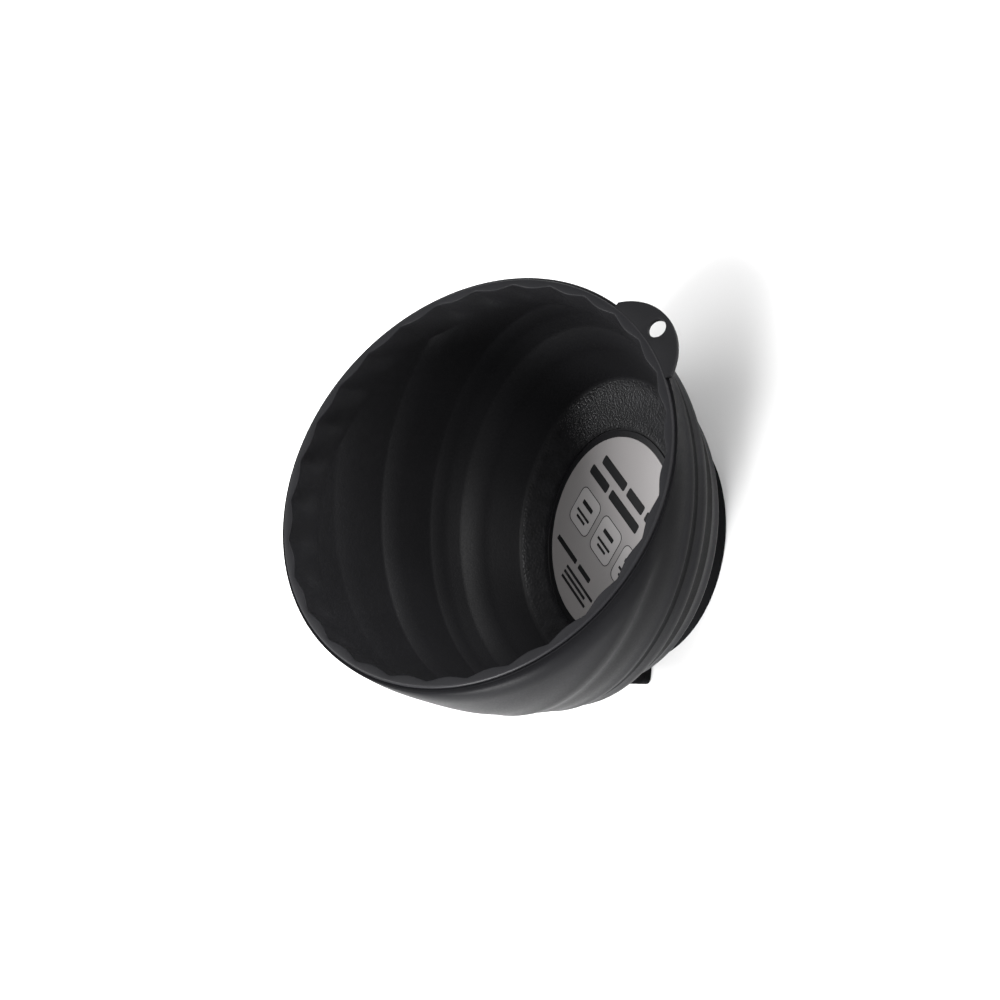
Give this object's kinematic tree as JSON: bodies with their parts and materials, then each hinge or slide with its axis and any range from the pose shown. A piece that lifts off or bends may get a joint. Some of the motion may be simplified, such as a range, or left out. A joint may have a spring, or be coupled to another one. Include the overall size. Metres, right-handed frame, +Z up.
{
  "type": "magnetic parts tray",
  "caption": "Round stepped plastic parts bowl with a slanted fluted rim and a hanging ear, fixed to a rubber-booted ring magnet base that holds it on steel.",
  "frame": {"origin": "centre of the magnet base's underside, on the surface that it stands on", "axes": "+Z up along the base's axis, +X towards the low side of the rim"},
  "size_m": [0.1408, 0.1425, 0.1143],
  "materials": {
    "bowl_plastic": "charcoal black ABS, fine spark-eroded grain",
    "label_film": "silver grey metallised film, satin",
    "base_rubber": "black moulded rubber, matt",
    "ferrite": "dark grey sintered ferrite",
    "plated_steel": "zinc plated"
  },
  "bodies": {
    "root": {"bowl": "bowl_plastic", "floor_label": "label_film", "base_boot": "base_rubber", "ring_magnet": "ferrite", "pole_plate": "plated_steel", "pole_bush": "plated_steel", "fixing_screw": "plated_steel", "screw_washer": "plated_steel"}
  },
  "joints": []
}
